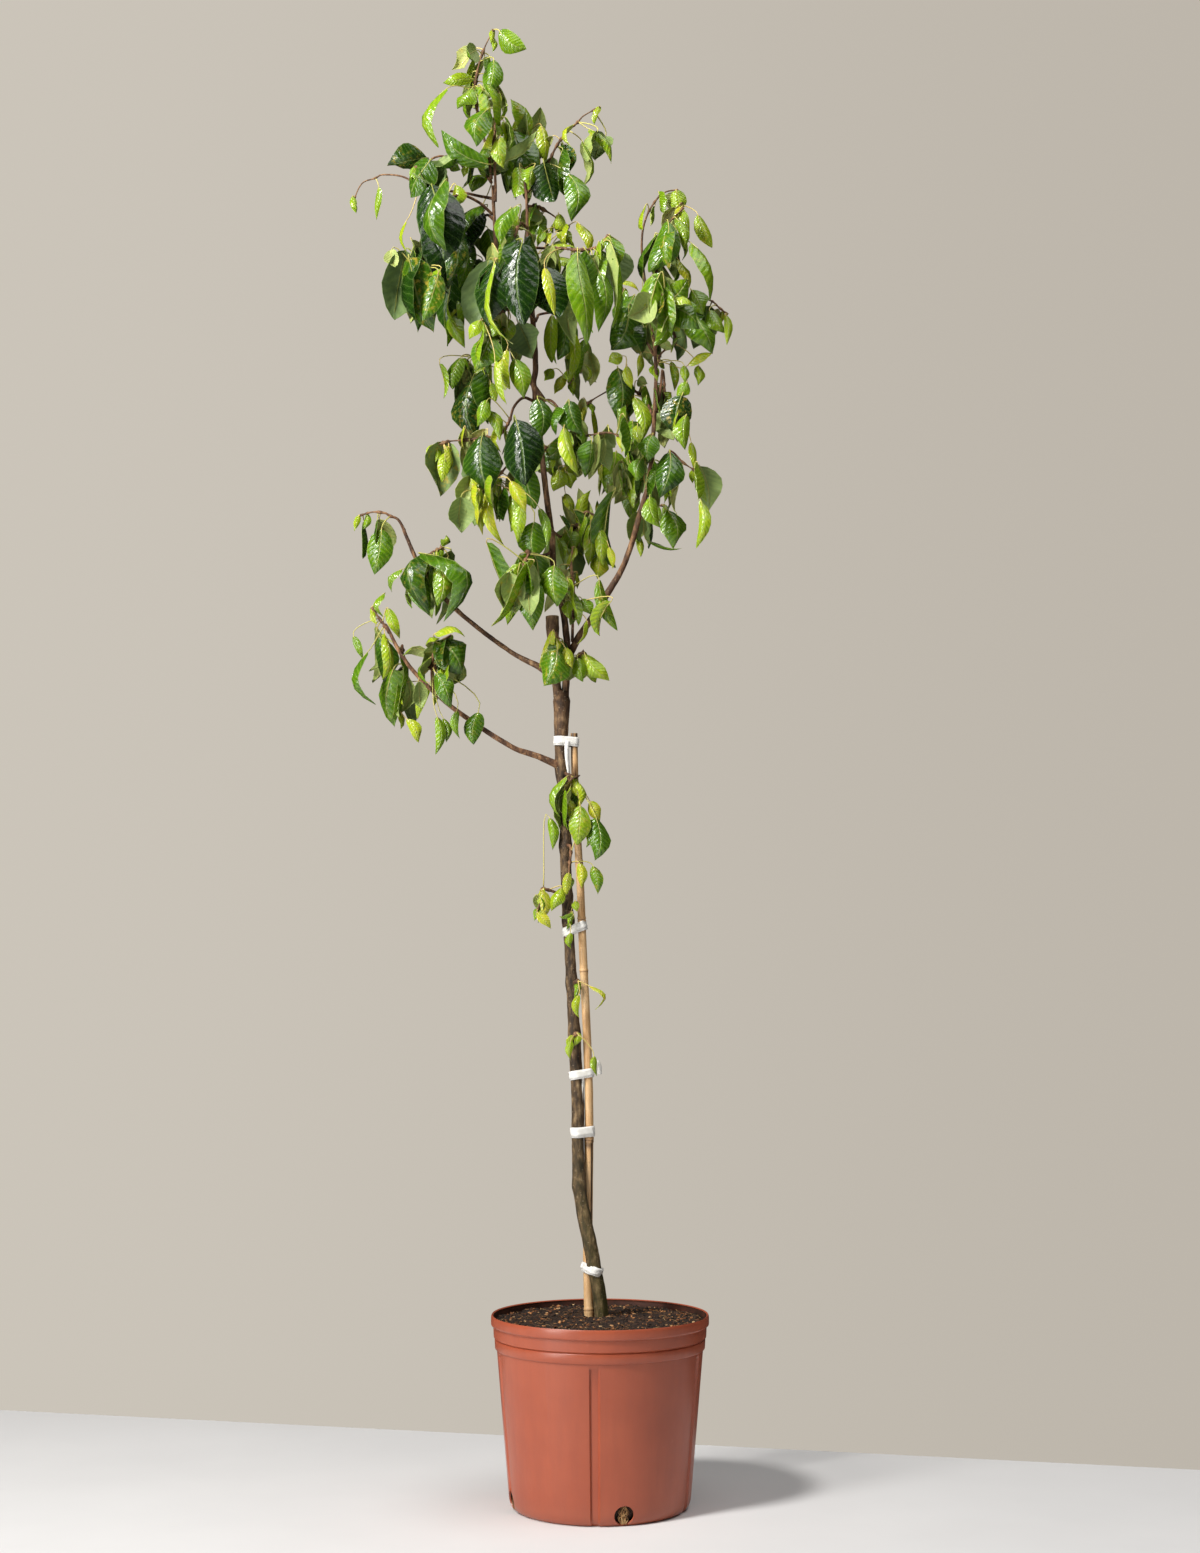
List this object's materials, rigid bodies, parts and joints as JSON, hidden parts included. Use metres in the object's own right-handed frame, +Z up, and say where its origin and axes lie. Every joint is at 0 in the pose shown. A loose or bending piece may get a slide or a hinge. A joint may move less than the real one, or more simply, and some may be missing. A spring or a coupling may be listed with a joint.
{
  "type": "potted pear tree",
  "caption": "Young pear tree tied to a bamboo cane in a round nursery pot of soil, a free-standing live plant with a leafy crown.",
  "frame": {"origin": "centre of the pot's underside", "axes": "+Z up along the tree, +X to the right and +Y to the back as seen from the front of the plant"},
  "size_m": [0.5108, 0.28, 1.9476],
  "materials": {
    "pot_plastic": "satin moulded",
    "potting_mix": "loose, rough",
    "trunk_bark": "rough bark",
    "shoot_bark": "smooth young bark",
    "bamboo": "smooth, slightly glossy",
    "tie_tape": "matte tape",
    "leaf": "waxy above, dull below"
  },
  "bodies": {
    "root": {"pot": "pot_plastic", "soil": "potting_mix", "trunk": "trunk_bark", "pruned_stub": "trunk_bark", "leader": "shoot_bark", "right_limb": "shoot_bark", "lower_left_limb": "shoot_bark", "upper_left_limb": "shoot_bark", "stake": "bamboo", "tie_base": "tie_tape", "tie_lower": "tie_tape", "tie_middle": "tie_tape", "tie_top": "tie_tape", "tie_upper": "tie_tape", "crown_tip_shoot": "leaf", "fork_face_leaf": "leaf", "fork_left_shoot": "leaf", "front_left_hanger": "leaf", "front_shoot": "leaf", "inner_right_shoot": "leaf", "left_arch_twig": "leaf", "left_inner_shoot": "leaf", "left_outer_shoot": "leaf", "left_reach_shoot": "leaf", "limb_pair": "leaf", "low_left_hanger": "leaf", "low_left_shoot": "leaf", "lower_inner_shoot": "leaf", "lower_middle_shoot": "leaf", "lower_tip_shoot": "leaf", "middle_right_shoot": "leaf", "outer_left_low_shoot": "leaf", "right_arch_shoot": "leaf", "right_face_shoot": "leaf", "right_facing_shoot": "leaf", "right_front_shoot": "leaf", "right_hanging_shoot": "leaf", "right_inner_shoot": "leaf", "right_low_cluster": "leaf", "right_low_shoot": "leaf", "right_middle_shoot": "leaf", "right_outer_shoot": "leaf", "right_pale_shoot": "leaf", "right_upper_shoot": "leaf", "ring_leaf_shoot": "leaf", "round_cluster": "leaf", "slender_twig": "leaf", "star_shoot": "leaf", "top_shoot": "leaf", "top_side_shoot": "leaf", "trunk_sprout_lower": "leaf", "trunk_sprout_upper": "leaf", "trunk_tuft_high": "leaf", "trunk_tuft_left": "leaf", "trunk_tuft_low": "leaf", "trunk_tuft_middle": "leaf", "upper_left_shoot": "leaf", "upper_limb_shoot": "leaf", "upright_twig": "leaf", "whip_shoot": "leaf"}
  },
  "joints": []
}
